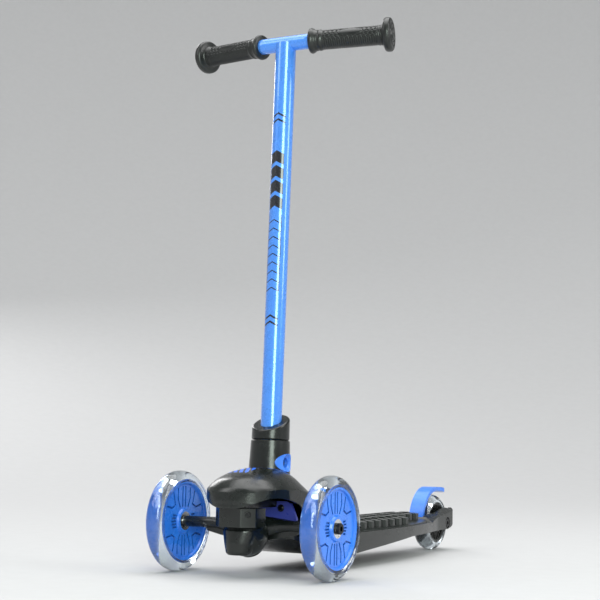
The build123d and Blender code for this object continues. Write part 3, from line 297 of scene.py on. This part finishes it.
brake_finish = moulded("grained blue brake", (0.035, 0.18, 0.74), (0.055, 0.235, 0.84), (0.26, 0.42), grain=1.2e-5,
                       coat=0.2, dust=0.1, pebble=2.6e-4)
# Painted shade: the steering guard is the same blue plastic as the other blue mouldings, painted darker and more
# violet as it sits in the hood's shadow.
shaded_guard_finish = moulded("guard blue with painted shade", (0.06, 0.08, 0.42), (0.08, 0.10, 0.52), (0.26, 0.4), grain=8.0e-6,
                       dust=0.1, painted_shade_reach=0.006, painted_shade_depth=0.5)
NODE_FINISH = {
    "steering_guard": shaded_guard_finish, "column_tube": tube_finish, "hood_cover": hood_finish,
    "brake_fender": brake_finish,
}

# ---- CAD nodes: material, softened edges and smooth shading ---------------------------------
# Width of the rounding on each node's sharp edges, in millimetres.
EDGE_SOFTENING = {
    "deck_shell": 0.9, "hood_cover": 0.7, "pivot_housing": 0.8, "truck_beam": 0.8, "neck_socket": 0.5,
    "neck_cap": 0.4, "button_surround": 0.4, "brake_fender": 1.9, "deck_pad": 1.2, "steering_guard": 0.4,
    "wheel_core_left": 0.5, "wheel_core_right": 0.5, "rear_hub": 0.35, "axle_bolt_left": 0.25,
    "axle_bolt_right": 0.25, "kingpin_bolt": 0.3, "snap_button": 0.15,
}
# The angle, in degrees, from which an edge counts as sharp.
SHARP_ANGLE = 38
FINE_EDGES = {"hood_cover": 14, "brake_fender": 30}


def soften(obj, width):
    """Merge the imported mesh's split corners, round its sharp edges a little, and shade it smoothly."""
    weld = obj.modifiers.new("weld", "WELD")
    weld.merge_threshold = 1.0e-6
    bevel = obj.modifiers.new("soft edges", "BEVEL")
    bevel.width = width * MM
    bevel.segments = 3
    bevel.limit_method = "ANGLE"
    bevel.angle_limit = math.radians(FINE_EDGES.get(obj.name, SHARP_ANGLE))
    bevel.harden_normals = False
    bevel.use_clamp_overlap = True
    normals = obj.modifiers.new("face normals", "WEIGHTED_NORMAL")
    normals.keep_sharp = False
    normals.weight = 60


slot_of = {entry["node"]: entry["material_slot"] for entry in frame["record"]["subparts"]}
for name, obj in NODES.items():
    obj.data.materials.clear()
    obj.data.materials.append(NODE_FINISH.get(name, MATERIALS[slot_of[name]]).material)
    if name in EDGE_SOFTENING:
        soften(obj, EDGE_SOFTENING[name])

# ---- handlebar grips with their moulded tread -----------------------------------------------------
GRIP_ROOT = (31.7 * MM, -186.66 * MM, 649.0 * MM)
GRIP_SWEEP, GRIP_RISE = math.radians(13.3), math.radians(1.5)
# Outline of the grip, as (radius, distance from its inner end) in millimetres. None stands for the barrel.
GRIP_OUTLINE = [
    (9.6, 2.0), (14.0, 2.0), (14.9, 2.6), (15.5, 3.8), (15.6, 5.4), (15.1, 6.9), (13.9, 8.6), (13.25, 9.6),
    (13.0, 11.5), (13.0, 12.2), (12.5, 12.6), (12.5, 13.6), (13.0, 14.0), (13.0, 16.4), (12.4, 18.0), (11.9, 19.0),
    None,
    (11.9, 89.0), (12.5, 89.6), (12.5, 90.6), (12.0, 91.0), (12.0, 92.2), (12.6, 92.6), (12.6, 93.6), (12.1, 94.0),
    (12.4, 95.0), (14.4, 96.0), (17.6, 96.5), (19.8, 97.1), (20.6, 98.4), (20.8, 100.0), (20.8, 102.4),
    (20.4, 104.0), (19.3, 105.2), (17.4, 105.7), (15.2, 105.8), (14.8, 104.9), (13.2, 104.9), (12.7, 106.2),
    (10.0, 106.45), (9.6, 105.8), (7.9, 105.8), (7.4, 106.9), (6.6, 107.4), (2.4, 107.5), (2.0, 107.0), (1.8, 104.0),
    (0.01, 103.6),
]
BARREL_R, BARREL_START, BARREL_STEP, BARREL_STEPS = 11.9, 19.0, 0.45, 155
RIB_PITCH, CELL_PITCH = 2.7, 5.4
CELL_ROW = CELL_PITCH * 0.866
# Millimetres round the barrel for each degree.
ARC = 0.2077
CELL_TURN, CELL_R = 33.0, 2.5


def tread(along, angle):
    """Height of the tread over the barrel, in millimetres; the angle is measured from straight up."""
    turned = abs(math.degrees(angle))
    if not 20.0 < along < 88.0:
        return 0.0
    if turned > 104.0 or turned < 22.0:  # ribs on top and underneath
        return -0.75 if (along / RIB_PITCH) % 1.0 < 0.42 else 0.2
    if 46.0 < along < 64.0 and 44.0 < turned < 84.0:  # middle of the lozenge
        return 0.35
    if 40.0 < along < 70.0 and 38.0 < turned < 90.0:  # rest of the lozenge and the hollow round it
        reach = ((along - 55.0) / 15.0) ** 2 + ((turned - 64.0) / 26.0) ** 2
        return 0.4 if reach < 1.0 else -0.5
    # round cells in staggered rows
    row = round((turned - CELL_TURN) * ARC / CELL_ROW)
    shift = CELL_PITCH / 2 if row % 2 else 0.0
    nearest = round((along - shift) / CELL_PITCH) * CELL_PITCH + shift
    apart = math.hypot(along - nearest, (turned - CELL_TURN) * ARC - row * CELL_ROW)
    return 0.9 * max(0.0, min(1.0, (CELL_R - apart) / 0.4)) - 0.5


def grip_mesh(side, around=180):
    """One grip as a turned outline whose barrel carries the tread."""
    outward = Vector((side * math.cos(GRIP_SWEEP) * math.cos(GRIP_RISE), math.sin(GRIP_SWEEP) * math.cos(GRIP_RISE),
                      math.sin(GRIP_RISE)))
    up = (Vector((0, 0, 1)) - outward * outward.z).normalized()
    ahead = up.cross(outward) if side > 0 else outward.cross(up)
    root = Vector((side * GRIP_ROOT[0], GRIP_ROOT[1], GRIP_ROOT[2]))
    gap = GRIP_OUTLINE.index(None)
    barrel = [(BARREL_R, BARREL_START + BARREL_STEP * step) for step in range(1, BARREL_STEPS)]
    rows = GRIP_OUTLINE[:gap] + barrel + GRIP_OUTLINE[gap + 1:]
    corners, faces = [], []
    for radius, along in rows:
        for step in range(around):
            angle = 2 * math.pi * step / around - math.pi
            reach = (radius + tread(along, angle)) * MM if radius == BARREL_R else radius * MM
            corners.append(root + outward * along * MM + (up * math.cos(angle) + ahead * math.sin(angle)) * reach)
    for row in range(len(rows) - 1):
        for step in range(around):
            beside = (step + 1) % around
            faces.append((row * around + step, row * around + beside, (row + 1) * around + beside,
                          (row + 1) * around + step))
    hand = "left" if side > 0 else "right"
    mesh = bpy.data.meshes.new(f"treaded_grip_{hand}")
    mesh.from_pydata(corners, [], faces)
    tidy = bmesh.new()
    tidy.from_mesh(mesh)
    bmesh.ops.recalc_face_normals(tidy, faces=tidy.faces)
    tidy.to_mesh(mesh)
    tidy.free()
    mesh.polygons.foreach_set("use_smooth", [True] * len(mesh.polygons))
    mesh.materials.append(MATERIALS["grip_rubber"].material)
    made = bpy.data.objects.new(f"treaded_grip_{hand}", mesh)
    bpy.context.scene.collection.objects.link(made)
    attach(made, "frame")
    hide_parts(f"grip_{hand}")


for side in (-1, 1):
    grip_mesh(side)

# ---- floor, light and camera ------------------------------------------------------------------
def bowl(inner, bend, height, rings=24, around=96):
    """Round floor whose rim curves up into a wall, without an edge between them."""
    profile = [(0.0, 0.0), (inner * 0.25, 0.0), (inner * 0.6, 0.0), (inner, 0.0)]
    for step in range(1, rings + 1):
        turn = math.pi / 2 * step / rings
        profile.append((inner + bend * math.sin(turn), bend - bend * math.cos(turn)))
    profile.append((inner + bend, height))
    mesh = bmesh.new()
    previous = None
    for radius, z in profile:
        if radius == 0.0:
            row = [mesh.verts.new((0.0, 0.0, 0.0))]
        else:
            row = [mesh.verts.new((radius * math.cos(2 * math.pi * i / around),
                                   radius * math.sin(2 * math.pi * i / around), z)) for i in range(around)]
        if previous is not None:
            for i in range(around):
                j = (i + 1) % around
                inside = previous[:1] if len(previous) == 1 else [previous[j], previous[i]]
                mesh.faces.new([*inside, row[i], row[j]])
        previous = row
    bmesh.ops.recalc_face_normals(mesh, faces=mesh.faces)
    data = bpy.data.meshes.new("studio floor")
    mesh.to_mesh(data)
    mesh.free()
    made = bpy.data.objects.new("studio floor", data)
    bpy.context.scene.collection.objects.link(made)
    data.polygons.foreach_set("use_smooth", [True] * len(data.polygons))
    return made


floor = bowl(1.7, 5.5, 8.0)
floor_shade = moulded("pale floor", (0.50, 0.50, 0.505), (0.515, 0.515, 0.52), (0.85, 0.95), grain=1.0e-5, dust=0.0)
floor_shade.set(Specular_IOR_Level=0.12)
floor.data.materials.append(floor_shade.material)

world = bpy.data.worlds.new("studio")
bpy.context.scene.world = world
world.use_nodes = True
background = world.node_tree.nodes["Background"]
background.inputs["Color"].default_value = (0.92, 0.95, 0.94, 1.0)
background.inputs["Strength"].default_value = 0.36


def softbox(name, place, target, size, power, tint=(1.0, 1.0, 1.0)):
    data = bpy.data.lights.new(name, "AREA")
    data.shape = "RECTANGLE"
    data.size, data.size_y = size
    data.energy = power
    data.color = tint
    made = bpy.data.objects.new(name, data)
    bpy.context.scene.collection.objects.link(made)
    made.location = place
    made.rotation_mode = "QUATERNION"
    made.rotation_quaternion = (Vector(target) - Vector(place)).to_track_quat("-Z", "Y")
    return made


softbox("key", (-1.5, -1.7, 1.9), (0.0, -0.1, 0.2), (0.9, 1.4), 15.0)
softbox("right", (1.9, 0.2, 1.3), (0.0, 0.0, 0.25), (0.5, 1.6), 16.0)
softbox("top", (0.1, 0.1, 2.3), (0.0, 0.0, 0.0), (1.2, 1.6), 6.0)
softbox("front strip", (1.62, -2.1, 0.85), (0.0, -0.2, 0.35), (0.95, 1.3), 46.0, (0.86, 1.0, 0.90))
softbox("rim", (-3.0, 1.9, 2.2), (0.0, -0.1, 0.3), (0.7, 2.0), 34.0)
softbox("ceiling", (0.0, 0.0, 6.5), (0.0, 0.0, 0.0), (7.0, 7.0), 440.0)

CAMERA_PLACE = Vector((0.8924, -1.7450, 0.1693))
CAMERA_TARGET = Vector((0.05857, -0.2455, 0.32267))
CAMERA_ROLL = math.radians(0.98)
camera_data = bpy.data.cameras.new("camera")
camera_data.lens = 88.32
camera_data.sensor_width = 36.0
camera_data.clip_start = 0.05
camera = bpy.data.objects.new("camera", camera_data)
bpy.context.scene.collection.objects.link(camera)
camera.location = CAMERA_PLACE
camera.rotation_mode = "QUATERNION"
aim = (CAMERA_TARGET - CAMERA_PLACE).to_track_quat("-Z", "Y")
camera.rotation_quaternion = aim @ Quaternion((0, 0, 1), CAMERA_ROLL)
bpy.context.scene.camera = camera
bpy.context.scene.view_settings.view_transform = "Standard"
